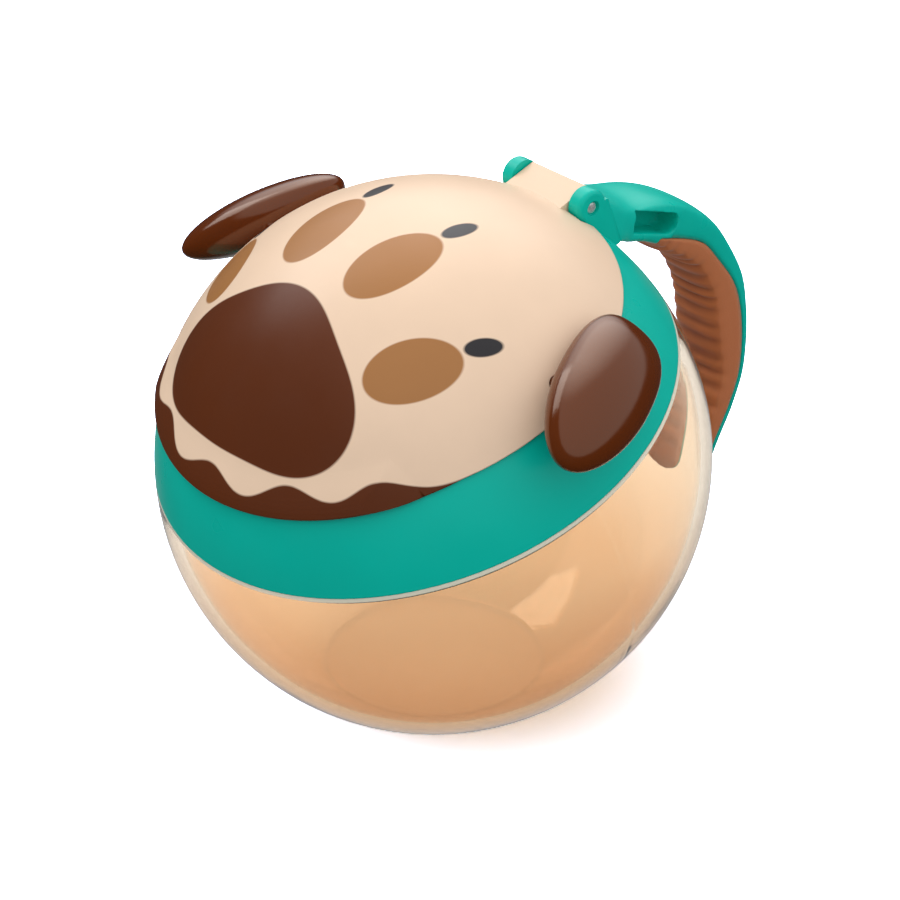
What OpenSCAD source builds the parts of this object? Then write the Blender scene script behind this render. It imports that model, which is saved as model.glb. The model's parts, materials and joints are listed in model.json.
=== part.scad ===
// Snack container for toddlers: a round clear bowl, a collar with soft entry flaps, a hinged
// domed lid with drop ears, and an open-ended carry handle. Millimetres, +Z up, front towards -Y,
// origin at the centre of the foot.

/* [Bowl] */
// Outside diameter of the round body
body_d = 95; // [90:1:100]
// Wall of the clear bowl
bowl_wall = 2; // [1.6:0.1:2.6]
// Diameter of the flat foot
foot_d = 40; // [34:1:46]
// Lean of the mouth towards the front, in degrees
mouth_tilt = 20; // [16:1:24]
// Height of the bowl's shoulder above the middle of the body, along the mouth's axis
rim_h = 13.7; // [11.2:0.5:15.2]
// Height of the neck that stands on the shoulder inside the collar
neck_h = 5.6; // [4:0.2:6]
// Play between the neck and the collar's shell
neck_play = 0.4; // [0.3:0.05:0.8]
// Gap between the shoulder and the collar that sits on it
seat_gap = 0.1; // [0.05:0.05:0.3]

/* [Collar] */
// Height of the collar's visible band at the back
band_h = 13.4; // [12.8:0.2:14.6]
// Wall of the collar's outer shell
collar_wall = 2; // [1.6:0.1:2.4]
// Clear diameter of the mouth
mouth_d = 71; // [68:0.5:71]
// Wall of the upright mouth tube
mouth_wall = 1.6; // [1.2:0.1:2]
// Depth of the flap seat below the back of the mouth
seat_depth = 6.7; // [6:0.1:7.4]
// Width of the flap seat
seat_w = 4.5; // [3.5:0.5:6]

/* [Lid] */
// How far the lid stands proud of the body
lid_proud = 0.5; // [0.3:0.1:0.8]
// Wall of the lid
lid_wall = 1.8; // [1.4:0.1:2.2]
// Gap between lid and collar, and round the hinge
part_gap = 0.3; // [0.25:0.05:0.5]
// Extra lean of the lid's front edge, in degrees
front_dip = 3.8; // [2:0.2:5]
// Distance in front of the middle where the edge starts to dip
dip_start = 15.7; // [10:0.5:22]
// How far the front lip stands out
lip_proud = 0.9; // [0.5:0.1:1.3]
// Height of the front lip's swell
lip_h = 6; // [4:0.5:8]
// Radius along the front lip's lower edge
lip_round = 0.6; // [0.3:0.1:0.9]
// Sweep of the front lip to each side, in degrees
lip_sweep = 66; // [50:1:70]
// Part of that sweep over which the lip sinks into the lid, in degrees
lip_fade = 18; // [12:1:30]
// Depth of the lid's plug below its edge at the back
plug_drop = 4.8; // [4:0.1:5]
// Wall of the plug
plug_wall = 1.4; // [1:0.1:1.8]
// Play between plug and mouth
plug_play = 0.9; // [0.8:0.05:1.2]
// Height of the snap bead's middle above the plug's lower edge
bead_rise = 1.2; // [1:0.1:2]
// Sweep of the snap bead to each side of the front, in degrees
bead_sweep = 25; // [10:1:40]

/* [Hinge] */
// Diameter of the lid's knuckle
knuckle_d = 6; // [5.4:0.1:6.2]
// Width of the lid's knuckle
knuckle_w = 13.7; // [11:0.1:16]
// Diameter of the collar's hinge lugs
lug_d = 6.2; // [5.6:0.1:6.6]
// Width of each hinge lug
lug_w = 2.85; // [2.2:0.05:4]
// Rounding of a lug's outer edge
lug_round = 0.8; // [0.4:0.1:1.2]
// Height of the knuckle's flat top above the pin's middle
knuckle_top = 1.9; // [1.7:0.1:2.6]
// Side play between knuckle and lugs
knuckle_play = 0.3; // [0.25:0.05:0.5]
// Diameter of the steel pin
pin_d = 2; // [1.6:0.1:2.4]
// Rise of the pin's domed ends
pin_dome = 0.4; // [0.2:0.1:0.6]
// Depth of each pin end below the lug's face
pin_inset = 0.2; // [0.1:0.1:0.6]
// Play round the pin's ends, in the lug's counterbores
end_play = 0.3; // [0.2:0.05:0.4]
// Running play of the lid on its pin, all round
pin_play = 0.05; // [0.03:0.01:0.09]
// Height of the hinge above the lid's edge
hinge_rise = 2.8; // [2.7:0.1:3.6]
// How far the hinge stands outside the lid's surface
hinge_out = 1.55; // [1.2:0.05:2]

/* [Handle] */
// How far the handle stands out behind its root
handle_reach = 41.5; // [36:0.5:46]
// How far the handle hangs below its root
handle_drop = 68; // [60:1:74]
// Width across the grip
handle_w = 12.1; // [10:0.1:14]
// Thickness of the grip at its middle
handle_t = 6.6; // [5.6:0.1:7.5]
// Thickness of the rigid spine behind the grip
spine_t = 2; // [1.6:0.1:2.6]
// Spacing of the ribs on the grip
rib_pitch = 4; // [3:0.25:6]
// Height of the ribs on the grip
rib_h = 0.5; // [0.2:0.05:0.8]
// Length of the hollow in each side of the handle's root
pocket_l = 11.9; // [8:0.1:13]
// Height of that hollow
pocket_h = 4; // [3:0.1:4.6]
// Web left between the two hollows
pocket_web = 3; // [2:0.5:5]

/* [Ears] */
// Length of an ear
ear_l = 31; // [26:0.5:34]
// Width of an ear
ear_w = 16; // [14:0.2:18]
// Thickness of an ear
ear_t = 10; // [8:0.2:11]
// Height of an ear's middle above the lid's edge
ear_rise = 1.8; // [1:0.1:3]
// Diameter of the pegs that hold an ear
peg_d = 3; // [2.4:0.1:3.6]
// Length of the pegs outside the lid
peg_l = 2; // [1:0.1:2.2]
// Height of the pegs above the lid's edge
peg_rise = 3; // [2.6:0.1:3.6]
// Play round a peg
peg_play = 0.1; // [0.05:0.05:0.2]
// How far the pegs reach past the lid's inside
peg_past = 0.2; // [0:0.1:0.6]
// Gap between an ear and the lid
ear_gap = 0.1; // [0.05:0.05:0.3]

/* [Flaps] */
// Thickness of the flaps
flap_t = 1.2; // [0.8:0.1:1.4]
// Thickness of the insert's rim
insert_t = 1.7; // [1.5:0.1:1.8]
// Play between the insert and the mouth
insert_play = 0.3; // [0.2:0.05:0.5]
// Width of the slits between the flaps
slit_w = 0.8; // [0.6:0.1:1.2]
// Radius to the outer ends of the slits
slit_r = 27; // [25:0.5:28]
// Radius of the small hole where the slits meet
centre_hole_r = 2; // [1.5:0.25:4]

/* [Hidden] */
flap_count = 6;

fine = 96;
far = 4 * body_d;
body_r = body_d / 2;
middle_z = sqrt(pow(body_r, 2) - pow(foot_d / 2, 2));
lid_r = body_r + lid_proud;
collar_low = rim_h + seat_gap;
land_h = collar_low + band_h;
edge_h = land_h + part_gap;
mouth_r = mouth_d / 2;
// The front edge lies in a plane that leans further than the mouth and meets it dip_start ahead.
dip_h = edge_h * cos(front_dip) + dip_start * sin(front_dip);

hinge_n = edge_h + hinge_rise;
hinge_m = sqrt(pow(lid_r + hinge_out, 2) - pow(hinge_n, 2));
lug_in = knuckle_w / 2 + knuckle_play;
lug_out = lug_in + lug_w;
// The handle starts on a face behind the lugs, whose upper edge is crease_n high.
bracket_m = hinge_m + lug_d / 2 + part_gap;
crease_n = hinge_n - part_gap;

// Ring radius at height h of a sphere of radius r.
function ring_r(r, h) = sqrt(pow(r, 2) - pow(h, 2));
// A point given along the mouth's axes, as [y, z] from the middle of the body.
function from_mouth(m, n) = [
    m * cos(mouth_tilt) - n * sin(mouth_tilt), m * sin(mouth_tilt) + n * cos(mouth_tilt)
];
function mix(a, b, t) = a + (b - a) * t;
function smooth(t) = t <= 0 ? 0 : t >= 1 ? 1 : t * t * (3 - 2 * t);
function flatten(lists) = [for (list = lists) for (item = list) item];
// Catmull-Rom curve through rows of numbers, at position t counted in rows.
function along(rows, t) = let (
        i = min(floor(t), len(rows) - 2),
        u = t - i,
        a = i == 0 ? 2 * rows[0] - rows[1] : rows[i - 1],
        b = rows[i],
        c = rows[i + 1],
        d = i + 2 < len(rows) ? rows[i + 2] : 2 * c - b
    ) 0.5 * (2 * b + (c - a) * u + (2 * a - 5 * b + 4 * c - d) * u * u
        + (3 * b - a - 3 * c + d) * u * u * u);
function signed_pow(x, p) = sign(x) * pow(abs(x), p);

// Children drawn in the mouth's axes: Z along the mouth, Y towards the hinge.
module at_mouth() {
    translate([0, 0, middle_z]) rotate([mouth_tilt, 0, 0]) children();
}

// Everything under height h, with the front dipping d below it as the lid's edge does.
module under(h, drop) {
    intersection() {
        translate([-far / 2, -far / 2, h - drop - far]) cube(far);
        rotate([front_dip, 0, 0])
            translate([-far / 2, -far / 2, -far])
            cube([far, far, far + dip_h - (edge_h - h) - drop]);
    }
}

// Everything over height h.
module above(h) {
    translate([-far / 2, -far / 2, h]) cube(far);
}

module tube(r_out, r_in, low, high) {
    translate([0, 0, low]) difference() {
        cylinder(h = high - low, r = r_out, $fn = fine);
        if (r_in > 0) translate([0, 0, low - high])
            cylinder(h = 3 * (high - low), r = r_in, $fn = fine);
    }
}

// Solid skin through rings of points, closed at both ends.
module loft(rings) {
    count = len(rings[0]);
    last = len(rings) - 1;
    sides = [
        for (i = [0:last - 1]) for (j = [0:count - 1])
            [i * count + j, i * count + (j + 1) % count,
             (i + 1) * count + (j + 1) % count, (i + 1) * count + j]
    ];
    start = [for (j = [count - 1:-1:0]) j];
    end = [for (j = [0:count - 1]) last * count + j];
    polyhedron(points = flatten(rings), faces = concat([start, end], sides));
}

/* Bowl */
neck_r = body_r - collar_wall - neck_play;

// The round wall ends in a shoulder; a neck one step further in follows the same centre.
module bowl() color([0.93, 0.75, 0.57, 0.5]) {
    floor_z = -middle_z + bowl_wall;
    intersection() {
        translate([-far / 2, -far / 2, 0]) cube(far);
        difference() {
            union() {
                ball_below(body_r, rim_h);
                ball_below(neck_r, rim_h + neck_h);
            }
            intersection() {
                translate([-far / 2, -far / 2, middle_z + floor_z]) cube(far);
                union() {
                    ball_below(body_r - bowl_wall, rim_h - bowl_wall);
                    ball_below(neck_r - bowl_wall, far / 4);
                }
            }
        }
    }
}

// Ball of radius r about the middle of the body, cut off h up the mouth's axis.
module ball_below(r, h) {
    at_mouth() intersection() {
        sphere(r = r, $fn = fine);
        translate([-far / 2, -far / 2, h - far]) cube(far);
    }
}

/* Collar */
seat_h = land_h - seat_depth;

module collar() color([0, 0.62, 0.54]) at_mouth() {
    difference() {
        union() {
            difference() {
                intersection() {
                    sphere(r = body_r, $fn = fine);
                    above(collar_low);
                    under(land_h, 0);
                }
                collar_hollow();
                tube(mouth_r, 0, seat_h, far);
                tube(mouth_r - seat_w, 0, -far, far);
            }
            hinge_block();
            for (side = [0, 1]) mirror([side, 0, 0]) lug();
        }
        // Room for the lid's knuckle and back edge between the lugs.
        across(-lug_in, lug_in)
            translate([mouth_r, land_h - part_gap]) square(bracket_m);
        hinge_bores();
    }
}

// Space between the outer shell and the mouth tube, where the bowl's neck stands.
module collar_hollow() {
    difference() {
        intersection() {
            sphere(r = body_r - collar_wall, $fn = fine);
            under(land_h, collar_wall);
        }
        tube(mouth_r + mouth_wall, 0, seat_h - collar_wall, far);
    }
}

// Side view of a hinge lug on its block, in [m, n], with its free edge moved in by inset.
module lug_side(inset) {
    translate([hinge_m, hinge_n]) circle(d = lug_d - 2 * inset, $fn = 48);
    polygon([
        [hinge_m - lug_d / 2 + inset, hinge_n], [hinge_m - lug_d / 2 + inset, land_h - collar_wall],
        [hinge_m, seat_h], [bracket_m, seat_h], [bracket_m, crease_n],
        [hinge_m + lug_d / 2 - inset, hinge_n]
    ]);
}

// Lug with a rounded edge round its outer face.
module lug() {
    across(lug_in, lug_out - lug_round) lug_side(0);
    across(lug_in, lug_out) lug_side(lug_round);
    at_hinge() rotate_extrude($fn = 48)
        polygon(concat(
            [[0, lug_in], [lug_d / 2, lug_in]],
            [for (a = [0:22.5:90])
                [lug_d / 2 - lug_round, lug_out - lug_round] + lug_round * [cos(a), sin(a)]],
            [[0, lug_out]]
        ));
}

// Block outside the shell that carries the lugs and the handle.
module hinge_block() {
    difference() {
        union() {
            across(lug_round - lug_out, lug_out - lug_round) lug_side(0);
            across(-lug_out, lug_out) lug_side(lug_round);
        }
        sphere(r = body_r - collar_wall / 2, $fn = fine);
    }
}

// Extrudes a side view in [m, n] from x = low to x = high.
module across(low, high) {
    translate([low, 0, 0]) rotate([90, 0, 90]) linear_extrude(height = high - low) children();
}

module hinge_bores() {
    at_hinge() {
        translate([0, 0, -2 * lug_out]) cylinder(h = 4 * lug_out, d = pin_d, $fn = 48);
        for (side = [0, 1]) mirror([0, 0, side])
            translate([0, 0, pin_half - pin_dome])
            cylinder(h = lug_w, d = pin_d + 2 * end_play, $fn = 48);
    }
}

// Children drawn on the hinge: Z along the pin, towards +X.
module at_hinge() {
    translate([0, hinge_m, hinge_n]) rotate([90, 0, 90]) children();
}

/* Hinge pin */
pin_half = lug_out - pin_inset;

module hinge_pin() color([0.8, 0.82, 0.84]) at_mouth() at_hinge() {
    straight = pin_half - pin_dome;
    translate([0, 0, -straight]) cylinder(h = 2 * straight, d = pin_d, $fn = 48);
    for (side = [0, 1]) mirror([0, 0, side]) translate([0, 0, straight]) rotate_extrude($fn = 48)
        polygon(concat([[0, 0]], [for (a = [0:15:90]) [pin_d / 2 * cos(a), pin_dome * sin(a)]]));
}

/* Lid */
plug_r = mouth_r - plug_play;
lid_in = lid_r - lid_wall;

module lid() color([0.98, 0.87, 0.77]) at_mouth() {
    difference() {
        union() {
            difference() {
                union() {
                    difference() {
                        sphere(r = lid_r, $fn = fine);
                        under(edge_h, 0);
                    }
                    front_lip();
                    across(-knuckle_w / 2, knuckle_w / 2) knuckle_side();
                }
                sphere(r = lid_in, $fn = fine);
            }
            plug();
        }
        lug_notches();
        at_hinge() translate([0, 0, -knuckle_w])
            cylinder(h = 2 * knuckle_w, d = pin_d + 2 * pin_play, $fn = 48);
        for (side = [0, 1]) mirror([side, 0, 0]) ear_pegs(peg_d + 2 * peg_play, lid_wall);
    }
}

// Swell along the front edge that a thumb lifts. A ball shifted forward limits it, so that it
// sinks into the lid's surface towards both ends.
module front_lip() {
    steps = 8;
    start = lip_round / lip_h;
    edge_r = ring_r(lid_r + lip_proud, dip_h + lip_round) - lip_round;
    slope = ring_r(lid_r, dip_h) / lid_r;
    sunk = lid_wall / 10;
    shift = (lip_proud + sunk) / slope / (cos(lip_sweep - lip_fade) - cos(lip_sweep));
    ball_r = lid_r - sunk - slope * shift * cos(lip_sweep);
    spread = lip_sweep + lip_fade / 4;
    rotate([front_dip, 0, 0]) intersection() {
        rotate([0, 0, 270 - spread]) rotate_extrude(angle = 2 * spread, $fn = fine)
            polygon(concat(
                [[ring_r(lid_in, dip_h + lip_h), dip_h + lip_h / 2], [edge_r - lid_wall, dip_h]],
                [for (a = [-90:22.5:-22.5])
                    [edge_r, dip_h + lip_round] + lip_round * [cos(a), sin(a)]],
                [for (i = [0:steps])
                    let (share = mix(start, 1, i / steps), h = dip_h + lip_h * share)
                    [ring_r(lid_r + lip_proud * (1 - smooth(i / steps)), h), h]]
            ));
        translate([0, -shift, 0]) sphere(r = ball_r, $fn = fine);
    }
}

// Side view of the knuckle with its flat top running onto the dome, in [m, n].
module knuckle_side() {
    top_n = hinge_n + knuckle_top;
    intersection() {
        translate([hinge_m, hinge_n]) circle(d = knuckle_d, $fn = 48);
        translate([0, top_n - far]) square([far, far]);
    }
    polygon([
        [hinge_m, hinge_n - knuckle_d / 2], [hinge_m, top_n],
        [ring_r(lid_r, top_n) - lid_wall / 2, top_n], [ring_r(lid_r, top_n) - lid_wall, hinge_n]
    ]);
}

module plug() {
    intersection() {
        tube(plug_r, plug_r - plug_wall, edge_h - plug_drop, far);
        sphere(r = lid_in + lid_wall / 3, $fn = fine);
    }
    // Snap bead at the front of the plug.
    rotate([0, 0, 270 - bead_sweep]) translate([0, 0, edge_h - plug_drop + bead_rise])
        rotate_extrude(angle = 2 * bead_sweep, $fn = fine)
        translate([plug_r, 0]) circle(r = plug_play / 2, $fn = 24);
}

// Slots in the lid's back edge that clear the collar's lugs as the lid turns.
module lug_notches() {
    clear = lug_d / 2 + part_gap;
    for (side = [0, 1]) mirror([side, 0, 0]) across(knuckle_w / 2, lug_out + knuckle_play) {
        translate([hinge_m, hinge_n]) circle(r = clear, $fn = 48);
        translate([hinge_m - clear, 0]) square([far, hinge_n]);
    }
}

/* Ears */
ear_stand = 0.485 * ear_t;
ear_down = acos((edge_h + ear_rise) / (lid_r + ear_stand));
ear_angle = 100.3;
ear_turn = [14.4, -11.7, -82.1];
peg_down = acos((edge_h + peg_rise) / lid_r);
peg_angle = 104;
peg_spread_angle = 5.5;

// Children drawn on the lid's surface: Z outwards, down degrees from the mouth's axis and
// round degrees from the front.
module on_dome(down, round) {
    rotate([0, 0, round - 90]) rotate([0, down, 0]) translate([0, 0, lid_r]) children();
}

module ear_pegs(d, past) {
    for (step = [-1, 1]) on_dome(peg_down, peg_angle + step * peg_spread_angle)
        translate([0, 0, -lid_wall - past]) cylinder(h = lid_wall + past + peg_l, d = d, $fn = 32);
}

// Puffed drop shape, long in X and narrower at its tip, centred on the origin.
module ear_body() {
    rings = 24;
    points = 32;
    loft([for (i = [0:rings]) let (
            a = -86 + 172 * i / rings,
            x = sin(a),
            girth = cos(a) * (1 - 0.04 * x)
        ) [for (j = [points:-1:1]) let (b = 360 * j / points)
            [ear_l / 2 * x, ear_w / 2 * girth * cos(b), ear_t / 2 * girth * sin(b)]]]);
}

module ear() color([0.36, 0.19, 0.11]) {
    difference() {
        on_dome(ear_down, ear_angle) translate([0, 0, ear_stand])
            rotate(ear_turn) ear_body();
        sphere(r = lid_r + ear_gap, $fn = fine);
    }
    ear_pegs(peg_d, peg_past);
}

module ear_right() at_mouth() ear();
module ear_left() at_mouth() mirror([1, 0, 0]) ear();

/* Soft insert */
insert_r = mouth_r - insert_play;
rim_in = mouth_r - seat_w;
membrane_low = seat_h + (insert_t - flap_t) / 2;
root_gap = 0.3;
flap_angle = 360 / flap_count;
chord_r = slit_r * cos(flap_angle / 2);
root_r = chord_r - root_gap - flap_t / 2;

module flap_ring() color([0.86, 0.94, 0.92]) at_mouth() {
    tube(insert_r, rim_in, seat_h, seat_h + insert_t);
    difference() {
        translate([0, 0, membrane_low])
            cylinder(h = flap_t, r = (rim_in + insert_r) / 2, $fn = fine);
        translate([0, 0, membrane_low - flap_t]) rotate([0, 0, 90 + flap_angle / 2])
            linear_extrude(height = 3 * flap_t)
            polygon([for (i = [1:flap_count])
                slit_r * [cos(i * flap_angle), sin(i * flap_angle)]]);
    }
}

// Flap number i bends about the straight root that joins two slit ends.
module flap(i) color([0.86, 0.94, 0.92]) at_mouth() rotate([0, 0, 90 + (i - 1) * flap_angle])
    translate([0, 0, membrane_low]) {
        half = root_r * tan(flap_angle / 2) - slit_w / 2 / cos(flap_angle / 2);
        tip = slit_w / 2 / sin(flap_angle / 2);
        difference() {
            union() {
                linear_extrude(height = flap_t)
                    polygon([[tip, 0], [root_r, half], [root_r, -half]]);
                translate([root_r, half, flap_t / 2]) rotate([90, 0, 0])
                    cylinder(h = 2 * half, d = flap_t, $fn = 32);
            }
            translate([0, 0, -flap_t]) cylinder(h = 3 * flap_t, r = centre_hole_r, $fn = 32);
        }
    }
module flap_1() flap(1);
module flap_2() flap(2);
module flap_3() flap(3);
module flap_4() flap(4);
module flap_5() flap(5);
module flap_6() flap(6);

/* Handle */
// Rows along the handle: shares of its reach and its drop, thickness as a share of handle_t,
// the spine's as a share of spine_t, and share of the way from grip width to root width.
HANDLE_LINE = [
    [0, 0, 1.58, 5.1, 1], [0.2, 0.065, 1.15, 4, 0.46], [0.405, 0.09, 1.3, 3.65, 0.23],
    [0.57, 0.13, 1.47, 3.4, 0.1], [0.74, 0.205, 1.41, 2.5, 0.03], [0.85, 0.285, 1.33, 2.25, 0],
    [0.96, 0.405, 1.38, 1.7, 0], [1, 0.54, 1.35, 1.2, 0], [0.995, 0.69, 1.1, 1, 0],
    [0.94, 0.8, 0.94, 1, -0.02], [0.86, 0.9, 0.85, 1, -0.06], [0.79, 1, 0.73, 1, -0.12]
];
grip_start = 2.15;
handle_end = len(HANDLE_LINE) - 1;
root = from_mouth(bracket_m, crease_n);
shut_line = 0.012;
crown = 2.2;
inner_round = 1.2;
grip_round = 2;
roundness = 0.77;
arc_steps = 8;
pocket_angle = 19;

function handle_point(t) = let (row = along(HANDLE_LINE, t))
    [root[0] + row[0] * handle_reach, root[1] - row[1] * handle_drop];
// Unit vector from the outer face inwards; at the root it follows the bracket's face.
function inward(t) = let (
        run = handle_point(min(t + 0.02, handle_end)) - handle_point(max(t - 0.02, 0)),
        square_in = [run[1], -run[0]] / norm(run),
        v = mix([sin(mouth_tilt), -cos(mouth_tilt)], square_in, smooth(t / 2))
    ) v / norm(v);
// One ring: section points [x, depth] at t, shrunk by k towards the section's middle.
function place(t, section, depth, k) = let (p = handle_point(t), v = inward(t))
    [for (q = section) let (d = depth / 2 + (q[1] - depth / 2) * k)
        [q[0] * k, p[0] + v[0] * d, middle_z + p[1] + v[1] * d]];
function arc(w, rise, depth, way) = [for (i = [0:arc_steps])
    let (a = 180 * i / arc_steps)
    [way * w * signed_pow(cos(a), roundness), depth - way * rise * pow(sin(a), roundness)]];
function half_w(t) = mix(handle_w / 2, lug_out, along(HANDLE_LINE, t)[4]);
function depth_at(t) = handle_t * along(HANDLE_LINE, t)[2];
function spine_at(t) = min(spine_t * along(HANDLE_LINE, t)[3], 0.85 * depth_at(t));
// Ring positions over the grip, evenly spaced, with the last ones closing the tip.
ring_step = 0.115;
ring_count = floor((handle_end - grip_start) / ring_step);
function ring_t(i) = mix(grip_start, handle_end, i / ring_count);
function tip_k(i) = let (u = max(0, (i - ring_count + 4) / 4)) sqrt(1 - 0.9 * u * u);
RUN = [for (i = 0, s = 0; i <= ring_count;
    s = s + norm(handle_point(ring_t(i + 1)) - handle_point(ring_t(i))), i = i + 1) s];
function rib(i) = rib_h / 2 * (1 - cos(360 * RUN[i] / rib_pitch))
    * smooth(RUN[i] / rib_pitch) * smooth((RUN[ring_count] - RUN[i]) / rib_pitch - 1);

// The rigid root has its full section up to the grip, and the spine behind the grip goes on
// from there with a flat inner side.
module handle() color([0, 0.62, 0.54]) {
    root_steps = 8;
    difference() {
        loft(concat(
            [for (i = [0:root_steps]) let (
                    t = (grip_start - shut_line) * i / root_steps,
                    w = half_w(t),
                    d = depth_at(t)
                ) place(t, concat(arc(w, crown, crown, 1), arc(w, inner_round, d - inner_round, -1)),
                    d, 1)],
            [for (i = [0:ring_count]) let (
                    t = ring_t(i),
                    w = half_w(t),
                    s = spine_at(t),
                    c = min(crown, 0.8 * s),
                    flat = [for (j = [0:arc_steps]) [w * (2 * j / arc_steps - 1), s]]
                ) place(t, concat(arc(w, c, c, 1), flat), depth_at(t), tip_k(i))]
        ));
        at_mouth() sphere(r = body_r, $fn = fine);
        for (side = [0, 1]) mirror([side, 0, 0]) pocket();
    }
}

// Moulder's hollow in the side of the root, flat in front and round behind.
module pocket() {
    mid = root + [0.355 * handle_reach, -0.145 * handle_drop];
    low = -pocket_h / 2;
    back = (pocket_l - pocket_h) / 2;
    translate([pocket_web / 2, mid[0], middle_z + mid[1]]) rotate([-pocket_angle, 0, 0])
        rotate([90, 0, 90]) linear_extrude(height = lug_out) {
            polygon([
                [-pocket_l / 2, low], [back, low], [back, -low],
                [-pocket_l / 2 - pocket_h * tan(pocket_angle / 2), -low]
            ]);
            translate([back, 0]) circle(d = pocket_h, $fn = 32);
        }
}

module handle_grip() color([0.57, 0.33, 0.2]) {
    loft([for (i = [0:ring_count]) let (t = ring_t(i), w = half_w(t), s = spine_at(t),
            d = depth_at(t) + rib(i), rise = min(grip_round, 0.8 * (depth_at(t) - s)))
        place(t, concat([[w, s], [-w, s]], arc(w, rise, d - rise, -1)),
            depth_at(t), tip_k(i))]);
}

bowl();
collar();
handle();
handle_grip();
hinge_pin();
flap_ring();
flap_1();
flap_2();
flap_3();
flap_4();
flap_5();
flap_6();
lid();
ear_left();
ear_right();
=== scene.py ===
"""Looks of the snack container: softened mouldings, materials, light and camera.

Lengths are in metres in the row's frame: the foot's centre is the origin, +Z is up and -Y is the
lid's front. "Mouth axes" start at the middle of the round body, with Z along the tilted mouth and
Y towards the hinge; the print on the lid is laid out in them, in millimetres.
"""
import json
import math

import bmesh
import bpy
from mathutils import Matrix, Vector

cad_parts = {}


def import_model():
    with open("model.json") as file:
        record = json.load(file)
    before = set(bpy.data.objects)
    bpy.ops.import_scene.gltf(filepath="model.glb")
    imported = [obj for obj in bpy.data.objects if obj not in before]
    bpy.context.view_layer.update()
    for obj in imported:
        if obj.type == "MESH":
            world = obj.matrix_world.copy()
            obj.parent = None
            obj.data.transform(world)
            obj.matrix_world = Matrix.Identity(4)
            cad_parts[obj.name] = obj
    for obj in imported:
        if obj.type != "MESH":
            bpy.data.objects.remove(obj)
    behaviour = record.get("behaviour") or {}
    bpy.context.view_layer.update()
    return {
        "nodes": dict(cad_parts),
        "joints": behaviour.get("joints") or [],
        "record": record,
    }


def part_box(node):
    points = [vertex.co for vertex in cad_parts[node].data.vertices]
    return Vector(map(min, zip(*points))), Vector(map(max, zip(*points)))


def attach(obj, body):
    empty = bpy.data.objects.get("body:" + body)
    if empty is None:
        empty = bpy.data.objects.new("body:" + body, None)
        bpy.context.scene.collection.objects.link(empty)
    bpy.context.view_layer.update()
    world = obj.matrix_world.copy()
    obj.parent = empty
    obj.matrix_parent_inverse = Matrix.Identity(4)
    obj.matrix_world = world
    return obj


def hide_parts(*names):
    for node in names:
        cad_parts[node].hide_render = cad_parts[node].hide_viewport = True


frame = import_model()

MM = 0.001

# ---------------------------------------------------------------- sizes from the frame

FOOT_R = 20 * MM
BOWL_LOW, BOWL_HIGH = (Vector(corner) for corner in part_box("bowl"))
BODY_R = (BOWL_HIGH.x - BOWL_LOW.x) / 2
MIDDLE = Vector((0, 0, math.sqrt(BODY_R**2 - FOOT_R**2)))
JOINTS = {joint["name"]: joint for joint in frame["joints"]}
MOUTH_AXIS = Vector(JOINTS["collar_lift"]["axis"])
TILT = math.atan2(-MOUTH_AXIS.y, MOUTH_AXIS.z)
LID_R = BODY_R + 0.5 * MM       # the lid stands a little proud of the body
SHOULDER = 13.7                 # height of the bowl's shoulder up the mouth's axis, mm


def srgb(red, green, blue):
    """Linear colour from the 0 to 255 values of a screen."""
    def linear(value):
        value /= 255
        return value / 12.92 if value <= 0.04045 else ((value + 0.055) / 1.055) ** 2.4
    return (linear(red), linear(green), linear(blue), 1.0)


CREAM = srgb(248, 217, 188)
TEAL = srgb(0, 197, 178)
EAR_BROWN = srgb(98, 42, 8)
PRINT_BROWN = srgb(101, 47, 15)
PRINT_TAN = srgb(176, 121, 70)
CHARCOAL = srgb(48, 46, 49)
GRIP_BROWN = srgb(200, 117, 69)
# GRIP_DARK: painted shade in the grip's grooves, and its random darker tone
GRIP_DARK = srgb(146, 76, 44)
# the bowl's tint by height: CLEAR_PEACH is painted light under the collar, DEEP_PEACH is painted
# shade towards the foot
CLEAR_PEACH = srgb(254, 240, 221)
DEEP_PEACH = srgb(234, 194, 155)
EDGE_PEACH = srgb(233, 193, 154)
# a painted highlight: the pale band on the bowl just under the collar
RIM_HIGHLIGHT_PEACH = srgb(255, 250, 230)
INSERT_AQUA = srgb(214, 238, 232)
INSERT_DEEP = srgb(196, 226, 219)
STEEL = srgb(238, 240, 240)
STEEL_DIM = srgb(212, 215, 217)


# ---------------------------------------------------------------- node trees

class Nodes:
    """Short calls for the nodes of a material or of the world."""

    def __init__(self, tree):
        self.tree = tree

    def node(self, kind, inputs=None, **settings):
        """A new node; each input is linked to a socket or set to a value."""
        made = self.tree.nodes.new(kind)
        for key, value in settings.items():
            setattr(made, key, value)
        for key, value in (inputs or {}).items():
            if isinstance(value, bpy.types.NodeSocket):
                self.tree.links.new(value, made.inputs[key])
            else:
                made.inputs[key].default_value = value
        return made

    def math(self, operation, first, second=0.0, third=0.0, **settings):
        made = self.node("ShaderNodeMath", {0: first, 1: second, 2: third},
                         operation=operation, **settings)
        return made.outputs[0]

    def vector_math(self, operation, first, second=(0, 0, 0)):
        """The number that comes of one or two vectors: a length, distance or dot product."""
        made = self.node("ShaderNodeVectorMath", {0: first, 1: second}, operation=operation)
        return made.outputs["Value"]

    def split(self, vector):
        return self.node("ShaderNodeSeparateXYZ", {0: vector}).outputs

    def between(self, value, low, high, to_low=0.0, to_high=1.0):
        """value mapped from low..high to to_low..to_high, and held there beyond."""
        made = self.node("ShaderNodeMapRange", {
            "Value": value, "From Min": low, "From Max": high,
            "To Min": to_low, "To Max": to_high,
        })
        return made.outputs["Result"]


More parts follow.
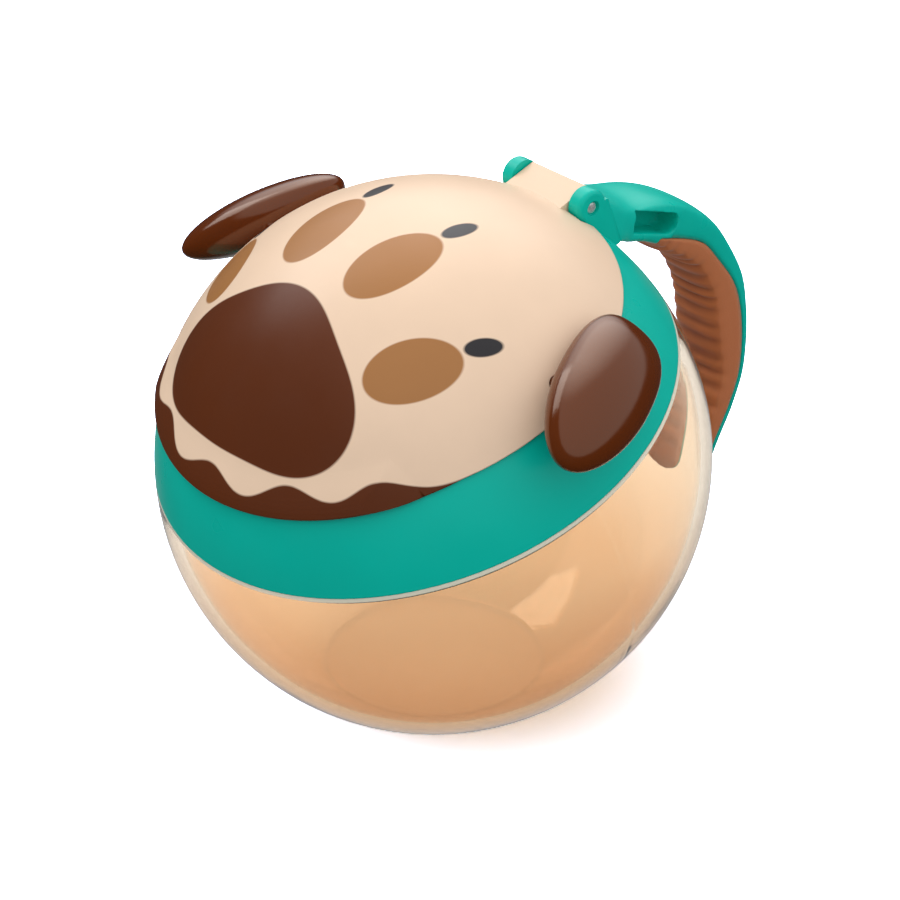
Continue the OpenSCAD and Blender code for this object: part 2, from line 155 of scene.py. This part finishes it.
class Recipe(Nodes):
    """One material, built up round its Principled shader."""

    def __init__(self, name):
        self.material = bpy.data.materials.new(name)
        self.material.use_nodes = True
        super().__init__(self.material.node_tree)
        self.shader = self.tree.nodes["Principled BSDF"]
        self.place = self.node("ShaderNodeTexCoord").outputs["Object"]

    def noise(self, scale, detail=2.0, place=None):
        made = self.node("ShaderNodeTexNoise", {
            "Vector": place or self.place, "Scale": scale, "Detail": detail,
        })
        return made.outputs["Fac"]

    def mix(self, share, first, second):
        """Two colours blended: all of the first at share 0, all of the second at 1."""
        made = self.node("ShaderNodeMix", {0: share, 6: first, 7: second}, data_type="RGBA")
        return made.outputs[2]

    def bumped(self, height, distance, strength=1.0, edge=0.0):
        """Bump from height; edge is the radius that sharp edges look rounded to."""
        inputs = {"Height": height, "Distance": distance, "Strength": strength}
        if edge:
            inputs["Normal"] = self.node("ShaderNodeBevel", {"Radius": edge}, samples=4).outputs[0]
        self.set(Normal=self.node("ShaderNodeBump", inputs).outputs["Normal"])

    def set(self, **inputs):
        """Sets or links inputs of the shader, with _ for each space in their names."""
        for key, value in inputs.items():
            socket = self.shader.inputs[key.replace("_", " ")]
            if isinstance(value, bpy.types.NodeSocket):
                self.tree.links.new(value, socket)
            else:
                socket.default_value = value

    def axes(self, turn, middle=MIDDLE):
        """Coordinates in millimetres from middle, in axes turned by turn about X."""
        made = self.node("ShaderNodeMapping", {
            "Vector": self.place, "Location": middle, "Rotation": (turn, 0, 0),
            "Scale": (MM, MM, MM),
        }, vector_type="TEXTURE")
        return made.outputs[0]


def moulded(recipe, colour, roughness, skin=0.35, edge=0.2 * MM):
    """Injection-moulded plastic: faint mottling, uneven gloss and an orange-peel skin."""
    mottle = recipe.between(recipe.noise(90, 3), 0.15, 0.85, 0.94, 1.01)
    tone = recipe.node("ShaderNodeHueSaturation", {"Color": colour, "Value": mottle})
    uneven = recipe.between(recipe.noise(160, 2), 0.15, 0.85, roughness - 0.05, roughness + 0.05)
    recipe.set(Base_Color=tone.outputs[0], Roughness=uneven)
    recipe.bumped(recipe.noise(900, 1), 0.02 * MM, skin, edge)


# ---------------------------------------------------------------- the print on the lid

PRINT_LEAN = math.radians(27)   # the print's middle leans this far forward of the mouth's axis
PRINT_EDGE = 0.12               # softness of a printed edge, mm
PRINT_DEEP = 0.4                # the print ends this far below the surface, mm
PAD_LOBES = (                   # x, y, radius of the main pad's lobes, mm
    (0, 1.5, 11.5), (-13, -6.5, 10.5), (13, -6.5, 10.5), (0, -7, 9),
)
PAD_EDGE = 0.5                  # the pad ends where the lobes together fall below this
TOES = (                        # x, y, half width, half length, lean in degrees
    (8.8, 21.5, 5.2, 7.8, -8), (23.5, 8.5, 4.8, 7.2, -28),
)
CLAW_GAP = 2.9                  # from a toe's tip to its claw's middle, mm
CLAW_W, CLAW_L = 1.5, 2.4       # a claw's half width and half length, mm
BAND_LOW = 28.5                 # the front lip's edge above the body's middle, mm
BAND_H = 3.4                    # height of the printed band on the lip, mm
BAND_LEAN = math.radians(3.8)   # the lip's edge leans this much further than the mouth
SCALLOP = 0.9                   # depth of the band's scallops, mm
SCALLOPS = 7                    # scallops in half a turn
FADE_FROM, FADE_TO = 0.75, 0.3  # cosines of the turn from the front where it thins, and ends


def oval(recipe, plane, x, y, half_w, half_l, lean):
    """Mask of a printed oval in the print's plane."""
    local = recipe.node("ShaderNodeMapping", {
        "Vector": plane, "Location": (x, y, 0), "Rotation": (0, 0, math.radians(lean)),
        "Scale": (half_w, half_l, 1e6),
    }, vector_type="TEXTURE")
    reach = recipe.vector_math("LENGTH", local.outputs[0])
    soft = PRINT_EDGE / half_w
    return recipe.between(reach, 1 - soft, 1 + soft, 1, 0)


def main_pad(recipe, plane):
    """Mask of the paw's main pad: lobes that run together."""
    flat = recipe.node("ShaderNodeVectorMath", {0: plane, 1: (1, 1, 0)}, operation="MULTIPLY")
    total = 0.0
    for x, y, radius in PAD_LOBES:
        reach = recipe.vector_math("DISTANCE", flat.outputs[0], (x, y, 0))
        fall = recipe.math("POWER", recipe.math("DIVIDE", reach, radius), 2.0)
        lobe = recipe.math("EXPONENT", recipe.math("MULTIPLY", fall, -1.0))
        total = recipe.math("ADD", lobe, total)
    return recipe.between(total, PAD_EDGE, PAD_EDGE + 0.03)


def lip_band(recipe):
    """Mask of the scalloped band along the front lip, fading out towards the ears."""
    place = recipe.split(recipe.axes(TILT + BAND_LEAN))
    ahead = recipe.math("MULTIPLY", place["Y"], -1.0)
    round_front = recipe.math("ARCTAN2", place["X"], ahead)
    wave = recipe.math("COSINE", recipe.math("MULTIPLY", round_front, 2 * SCALLOPS))
    height = recipe.math("MULTIPLY_ADD", wave, SCALLOP, BAND_H)
    facing = recipe.math("COSINE", round_front)
    share = recipe.node("ShaderNodeMapRange", {
        "Value": facing, "From Min": FADE_TO, "From Max": FADE_FROM,
    }, interpolation_type="SMOOTHSTEP").outputs["Result"]
    top = recipe.math("MULTIPLY_ADD", height, share, BAND_LOW - PRINT_EDGE)
    depth = recipe.math("SUBTRACT", top, place["Z"])
    front = recipe.between(facing, FADE_TO, FADE_TO + 0.01)
    return recipe.math("MULTIPLY", recipe.between(depth, -PRINT_EDGE, PRINT_EDGE), front)


def lid_print(recipe):
    """The lid's colour: cream with a paw print and a scalloped band, on the outside only."""
    plane = recipe.axes(TILT + PRINT_LEAN)
    reach = recipe.vector_math("LENGTH", plane)
    deepest = LID_R / MM - PRINT_DEEP
    outside = recipe.between(reach, deepest, deepest + 0.1)
    colour = CREAM
    for mask in (lip_band(recipe), main_pad(recipe, plane)):
        colour = recipe.mix(recipe.math("MULTIPLY", mask, outside), colour, PRINT_BROWN)
    for x, y, half_w, half_l, lean in TOES:
        for side in (-1, 1):
            tip = math.radians(lean * side)
            claw_x = x * side - math.sin(tip) * (half_l + CLAW_GAP)
            claw_y = y + math.cos(tip) * (half_l + CLAW_GAP)
            toe = oval(recipe, plane, x * side, y, half_w, half_l, lean * side)
            claw = oval(recipe, plane, claw_x, claw_y, CLAW_W, CLAW_L, lean * side)
            colour = recipe.mix(recipe.math("MULTIPLY", toe, outside), colour, PRINT_TAN)
            colour = recipe.mix(recipe.math("MULTIPLY", claw, outside), colour, CHARCOAL)
    return colour


# ---------------------------------------------------------------- the materials

def cream_lid():
    """Satin cream plastic with the print."""
    recipe = Recipe("cream_lid")
    moulded(recipe, lid_print(recipe), 0.36)
    recipe.set(Specular_IOR_Level=0.3)
    return recipe.material


def teal_shell():
    """Satin teal plastic of the collar and the handle's back."""
    recipe = Recipe("teal_shell")
    moulded(recipe, TEAL, 0.3, skin=0.05)
    recipe.set(Specular_IOR_Level=0.2)
    return recipe.material


def brown_ear():
    """Glossy brown plastic, with reflections a little warm."""
    recipe = Recipe("brown_ear")
    moulded(recipe, EAR_BROWN, 0.15, edge=0.0)
    recipe.set(Specular_IOR_Level=0.68, Specular_Tint=(1, 0.84, 0.7, 1))
    return recipe.material


def soft_grip():
    """Over-moulded rubber with shade painted into the grooves, a random darker tone and a dry
    fine-grained skin.
    """
    recipe = Recipe("soft_grip")
    groove = recipe.node("ShaderNodeAttribute", attribute_name="groove").outputs["Fac"]
    # painted shade in the grooves, plus random tone from the noise
    groove_shade_and_tone = recipe.math("MULTIPLY_ADD", recipe.noise(70, 3), 0.25, groove)
    recipe.set(Base_Color=recipe.mix(recipe.between(groove_shade_and_tone, 0.1, 1.1), GRIP_BROWN, GRIP_DARK))
    recipe.set(Roughness=recipe.between(recipe.noise(300, 2), 0.3, 0.7, 0.5, 0.62))
    recipe.set(Sheen_Weight=0.25, Sheen_Roughness=0.4)
    recipe.bumped(recipe.noise(2600, 2), 0.05 * MM, 0.5)
    return recipe.material


DEEP_BELOW, CLEAR_ABOVE = 22 * MM, 47 * MM      # heights between which the tint pales: painted shade towards the foot, painted light under the collar
EDGE_FULL, EDGE_GONE = 10 * MM, 32 * MM         # heights between which the outline's tint fades
RIM_H = 0.75                                    # height of the pale satin band painted as a highlight line under the collar, mm
RIM_T = 1.2                                     # its thickness, mm


def clear_bowl():
    """Clear tinted plastic, painted deeper towards the foot as shade and paler under the collar as
    light, with a pale satin band under the collar painted as a highlight line.
    """
    recipe = Recipe("clear_bowl")
    height = recipe.split(recipe.place)["Z"]
    # the tint pales with height: painted shade low on the bowl, painted light under the collar
    wavy = recipe.math("MULTIPLY_ADD", recipe.noise(25, 2), 12 * MM, height)
    tint = recipe.mix(recipe.between(wavy, DEEP_BELOW, CLEAR_ABOVE), DEEP_PEACH, CLEAR_PEACH)
    facing = recipe.node("ShaderNodeLayerWeight", {"Blend": 0.5}).outputs["Facing"]
    low = recipe.between(height, EDGE_GONE, EDGE_FULL)
    thick = recipe.math("MULTIPLY", recipe.between(facing, 0.6, 0.95), low)
    tint = recipe.mix(thick, tint, EDGE_PEACH)
    # a pale, nearly opaque satin band just under the shoulder: a painted highlight line under the
    # collar
    mouth = recipe.axes(TILT)
    rim_low = SHOULDER - RIM_H
    near_top = recipe.between(recipe.split(mouth)["Z"], rim_low, rim_low + 0.25)
    inside = BODY_R / MM - RIM_T
    outside = recipe.between(recipe.vector_math("LENGTH", mouth), inside, inside + 0.2)
    rim = recipe.math("MULTIPLY", near_top, outside)
    recipe.set(Base_Color=recipe.mix(rim, tint, RIM_HIGHLIGHT_PEACH), IOR=1.4)
    recipe.set(Transmission_Weight=recipe.between(rim, 0, 1, 1, 0.15))
    haze = recipe.between(facing, 0.55, 0.85, 0.0, 0.03)
    polish = recipe.math("MULTIPLY_ADD", recipe.noise(120, 2), 0.03, haze)
    recipe.set(Roughness=recipe.math("MULTIPLY_ADD", rim, 0.35, polish))
    recipe.bumped(recipe.noise(38, 1), 0.3 * MM, 0.35)
    return recipe.material


def soft_insert():
    """Soft, slightly translucent rubber of the flaps and their rim."""
    recipe = Recipe("soft_insert")
    recipe.set(Base_Color=recipe.mix(recipe.noise(60, 2), INSERT_AQUA, INSERT_DEEP))
    recipe.set(Roughness=recipe.between(recipe.noise(220, 2), 0.3, 0.7, 0.42, 0.55))
    recipe.set(Subsurface_Weight=0.3, Subsurface_Radius=(0.003, 0.004, 0.004))
    recipe.bumped(recipe.noise(1500, 2), 0.03 * MM, 0.4)
    return recipe.material


def steel_pin():
    """Drawn wire, with fine streaks along its length."""
    recipe = Recipe("steel_pin")
    streaks = recipe.node("ShaderNodeMapping", {"Vector": recipe.place, "Scale": (40, 2500, 2500)})
    grain = recipe.noise(1, 3, streaks.outputs[0])
    recipe.set(Base_Color=recipe.mix(grain, STEEL, STEEL_DIM), Metallic=0.6)
    recipe.set(Roughness=recipe.between(grain, 0.3, 0.7, 0.22, 0.4))
    recipe.bumped(grain, 0.01 * MM, 0.3, 0.15 * MM)
    return recipe.material


MATERIALS = {
    make.__name__: make()
    for make in (cream_lid, teal_shell, brown_ear, soft_grip, clear_bowl, soft_insert, steel_pin)
}
SLOTS = {part["node"]: part["material_slot"] for part in frame["record"]["subparts"]}


def finish_with(piece, slot):
    """Gives a piece the one material of its slot."""
    piece.data.materials.clear()
    piece.data.materials.append(MATERIALS[slot])


for name, piece in frame["nodes"].items():
    finish_with(piece, SLOTS[name])


# ---------------------------------------------------------------- softened mouldings

SMOOTH_ANGLE = math.radians(38)     # edges sharper than this keep a crease
WELD = 0.002 * MM                   # points closer than this are one


def mark_grooves(data, depth=0.12 * MM):
    """Stores how far each point lies in a groove, from 0 on a rib to 1 at the bottom."""
    near = [[] for _ in data.vertices]
    for edge in data.edges:
        a, b = edge.vertices
        near[a].append(b)
        near[b].append(a)
    points = [point.co.copy() for point in data.vertices]
    sunk = [
        (sum((points[j] for j in near[i]), Vector()) / len(near[i]) - points[i])
        .dot(data.vertices[i].normal) / depth
        for i in range(len(points))
    ]
    attribute = data.attributes.new("groove", "FLOAT", "POINT")
    for i, value in enumerate(sunk):
        attribute.data[i].value = min(1, max(0, 0.5 + value / 2))


EAR_SQUARE = 2.9                    # power of the ear's upper outline; 2 is an ellipse
EAR_TAPER = 0.08                    # share by which the ear's tip is narrower than its middle
PEG_DEPTH = 4.5 * MM                # what lies deeper than this below an ear's middle is a peg


def drop_shaped(mesh):
    """Broadens the upper end of an ear and narrows its tip, across its length."""
    points = [vert.co for vert in mesh.verts]
    middle = sum(points, Vector()) / len(points)
    upper = max((p for p in points if p.z > middle.z), key=lambda p: (p - middle).length)
    lower = max((p for p in points if p.z < middle.z), key=lambda p: (p - middle).length)
    centre = (upper + lower) / 2
    half = (upper - lower).length / 2
    along = (upper - lower).normalized()
    across = along.cross(centre - MIDDLE).normalized()
    outward = across.cross(along)
    for vert in mesh.verts:
        arm = vert.co - centre
        if arm.dot(outward) < -PEG_DEPTH:
            continue
        share = max(-0.99, min(0.99, arm.dot(along) / half))
        if share > 0:
            wider = (1 - share**EAR_SQUARE)**(1 / EAR_SQUARE) / math.sqrt(1 - share**2)
        else:
            wider = 1 + EAR_TAPER * share
        vert.co += across * arm.dot(across) * (wider - 1)


def softened(node, levels=2, crease=0.7):
    """A smooth, slightly rounded piece grown from a faceted CAD node, in the node's place."""
    source = frame["nodes"][node]
    mesh = bmesh.new()
    mesh.from_mesh(source.data)
    bmesh.ops.remove_doubles(mesh, verts=mesh.verts, dist=WELD)
    bmesh.ops.dissolve_degenerate(mesh, edges=mesh.edges, dist=WELD)
    bmesh.ops.join_triangles(mesh, faces=mesh.faces, angle_face_threshold=math.radians(25),
                             angle_shape_threshold=math.radians(60))
    if node.startswith("ear"):
        drop_shaped(mesh)
    creases = mesh.edges.layers.float.new("crease_edge")
    for edge in mesh.edges:
        if len(edge.link_faces) == 2 and edge.calc_face_angle() > SMOOTH_ANGLE:
            edge[creases] = crease
    for face in mesh.faces:
        face.smooth = True
    data = bpy.data.meshes.new(node + "_soft")
    mesh.to_mesh(data)
    mesh.free()
    mark_grooves(data)
    piece = bpy.data.objects.new(node + "_soft", data)
    bpy.context.scene.collection.objects.link(piece)
    smooth = piece.modifiers.new("smooth", "SUBSURF")
    smooth.levels = smooth.render_levels = levels
    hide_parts(node)
    body = next(b for b, nodes in frame["record"]["behaviour"]["bodies"].items() if node in nodes)
    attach(piece, body)
    finish_with(piece, SLOTS[node])


for node in ("ear_left", "ear_right", "handle", "handle_grip"):
    softened(node)


# ---------------------------------------------------------------- floor, light and camera

FLOOR_PALE = (0.45, 0.45, 0.45, 1)  # the floor's colour and glow to all rays but the camera's
FLOOR_GLOW = 0.78
FLOOR_SEEN = (3.7, 4.0, 4.75, 1)    # overexposed colour that the camera sees
FLOOR_LEAN = (-0.42, -0.52, 0.74)   # light from this direction counts most, so shadows lie opposite


def floor():
    """Plain pale floor, so bright to the camera that only the shadow by the foot shows."""
    bpy.ops.mesh.primitive_plane_add(size=60, location=(0, 0, -0.02 * MM))
    plane = bpy.context.object
    plane.name = "floor"
    recipe = Recipe("floor")
    seen = recipe.node("ShaderNodeLightPath").outputs["Is Camera Ray"]
    recipe.set(Base_Color=recipe.mix(seen, FLOOR_PALE, FLOOR_SEEN), Roughness=0.9)
    glow = recipe.between(seen, 0, 1, FLOOR_GLOW, 0)
    recipe.set(Emission_Color=(1, 1, 1, 1), Emission_Strength=glow)
    lean = recipe.node("ShaderNodeCombineXYZ", dict(zip("XYZ", FLOOR_LEAN)))
    recipe.set(Normal=lean.outputs[0])
    plane.data.materials.append(recipe.material)
    plane.visible_glossy = False
    plane.visible_diffuse = False


SKY_AXIS = (0.25, 0.45, 0.86)   # the sky is brightest in this direction
SKY_LOW, SKY_HIGH = 0.76, 1.06  # brightness opposite that direction and in it
GROUND = 0.26                   # brightness below the horizon
HORIZON = 0.02                  # half the height over which the sky meets the ground
DIM = 0.04                      # what mirrored rays see between the panels
PANELS = (                      # axis, cosines at the edge and inside, brightness
    ((0.3, 0.25, 0.92), 0.5, 0.56, 0.8),
    ((-0.53, 0.43, 0.73), 0.78, 1.0, 3.4),
    ((-0.6, 0.5, -0.62), 0.85, 0.97, 0.45),
)


def world():
    """Pale studio surroundings; mirrored rays see them dim, with a few brighter panels."""
    studio = bpy.data.worlds.new("studio")
    bpy.context.scene.world = studio
    studio.use_nodes = True
    nodes = Nodes(studio.node_tree)
    where = nodes.node("ShaderNodeTexCoord").outputs["Generated"]
    sky = nodes.between(nodes.vector_math("DOT_PRODUCT", where, SKY_AXIS), -1, 1, SKY_LOW, SKY_HIGH)
    above = nodes.between(nodes.vector_math("DOT_PRODUCT", where, (0, 0, 1)), -HORIZON, HORIZON)
    dome = nodes.node("ShaderNodeMix", {0: above, 2: GROUND, 3: sky}).outputs[0]
    gloss = DIM
    for axis, edge, inside, bright in PANELS:
        towards = nodes.vector_math("DOT_PRODUCT", where, axis)
        gloss = nodes.math("ADD", nodes.between(towards, edge, inside, 0, bright), gloss)
    ray = nodes.node("ShaderNodeLightPath").outputs
    mirrored = nodes.math("SUBTRACT", ray["Is Glossy Ray"], ray["Is Transmission Ray"],
                          use_clamp=True)
    seen = nodes.node("ShaderNodeMix", {0: mirrored, 2: dome, 3: gloss}).outputs[0]
    nodes.tree.links.new(seen, nodes.tree.nodes["Background"].inputs["Color"])


def softbox(name, place, size, power):
    """Large soft light aimed at the body's middle, which glossy plastic doesn't mirror."""
    light = bpy.data.lights.new(name, "AREA")
    light.shape = "RECTANGLE"
    light.size, light.size_y = size
    light.energy = power
    light.specular_factor = 0
    holder = bpy.data.objects.new(name, light)
    holder.location = place
    holder.rotation_euler = (MIDDLE - Vector(place)).to_track_quat("-Z", "Y").to_euler()
    bpy.context.scene.collection.objects.link(holder)


VIEW_ROUND = math.radians(49.8)     # round from the front, towards +X
VIEW_UP = math.radians(29.5)
VIEW_AWAY = 0.443                   # from the body's middle
AIM_RIGHT, AIM_UP = 2.82 * MM, 0.99 * MM    # from the body's middle to where the view is aimed
SENSOR, LENS = 36, 103.6            # in the camera's own millimetres


def camera():
    """Long lens that looks down on the front and the +X side, aimed a little off the middle."""
    back = Vector((math.sin(VIEW_ROUND) * math.cos(VIEW_UP),
                   -math.cos(VIEW_ROUND) * math.cos(VIEW_UP), math.sin(VIEW_UP)))
    right = Vector((math.cos(VIEW_ROUND), math.sin(VIEW_ROUND), 0))
    up = back.cross(right)
    lens = bpy.data.cameras.new("view")
    lens.sensor_width = SENSOR
    lens.lens = LENS
    lens.clip_start = 0.01
    eye = bpy.data.objects.new("view", lens)
    place = MIDDLE + back * VIEW_AWAY + right * AIM_RIGHT + up * AIM_UP
    eye.matrix_world = Matrix.Translation(place) @ Matrix((right, up, back)).transposed().to_4x4()
    bpy.context.scene.collection.objects.link(eye)
    bpy.context.scene.camera = eye


floor()
world()
softbox("key", place=(-0.85, -0.2, 0.85), size=(0.5, 0.5), power=2.4)
camera()
bpy.context.scene.view_settings.view_transform = "Standard"
